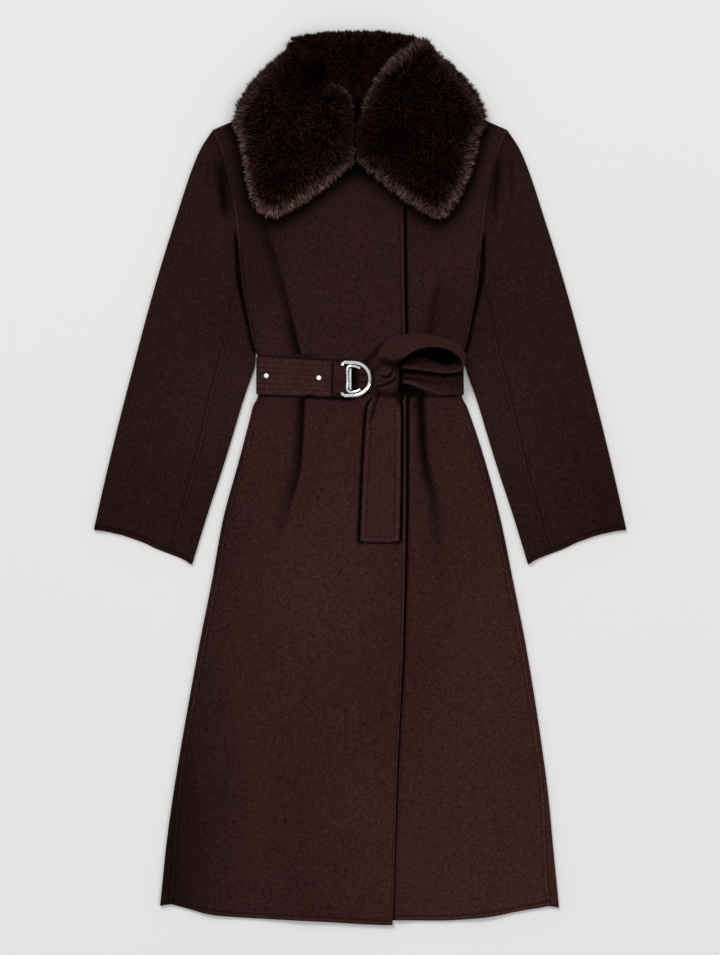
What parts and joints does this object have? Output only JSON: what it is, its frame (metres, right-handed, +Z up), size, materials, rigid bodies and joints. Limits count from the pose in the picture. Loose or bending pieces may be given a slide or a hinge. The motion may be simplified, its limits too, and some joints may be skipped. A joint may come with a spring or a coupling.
{
  "type": "long coat",
  "caption": "Long belted wrap-front coat of double-face wool with a wide fur collar and a D-ring belt tied in a half bow, laid flat with its front up.",
  "frame": {"origin": "on the surface the coat lies on, under the middle of its outline", "axes": "+X to the wearer's left, +Y along the coat's length towards the collar, +Z up from the surface, out of the coat's front"},
  "size_m": [0.7712, 1.2959, 0.0611],
  "materials": {
    "wool": "matt double-face wool with a short nap",
    "fur": "dense soft fur with lighter tips",
    "steel": "polished, lightly worn"
  },
  "bodies": {
    "root": {"back": "wool", "front_right_over": "wool", "front_left_under": "wool", "sleeve_right_upper": "wool", "sleeve_right_under": "wool", "sleeve_left_upper": "wool", "sleeve_left_under": "wool", "collar_back": "fur", "collar_leaf_right": "fur", "collar_leaf_left": "fur", "collar_hook": "steel", "belt_back": "wool", "belt_right_quilted": "wool", "belt_left": "wool", "belt_tab": "wool", "belt_ring_turn": "wool", "belt_knot": "wool", "belt_ear": "wool", "belt_tail": "wool", "d_ring": "steel", "buckle_bar_frame": "steel", "buckle_bar_inner": "steel", "rivet_outer": "steel", "rivet_inner": "steel"}
  },
  "joints": []
}
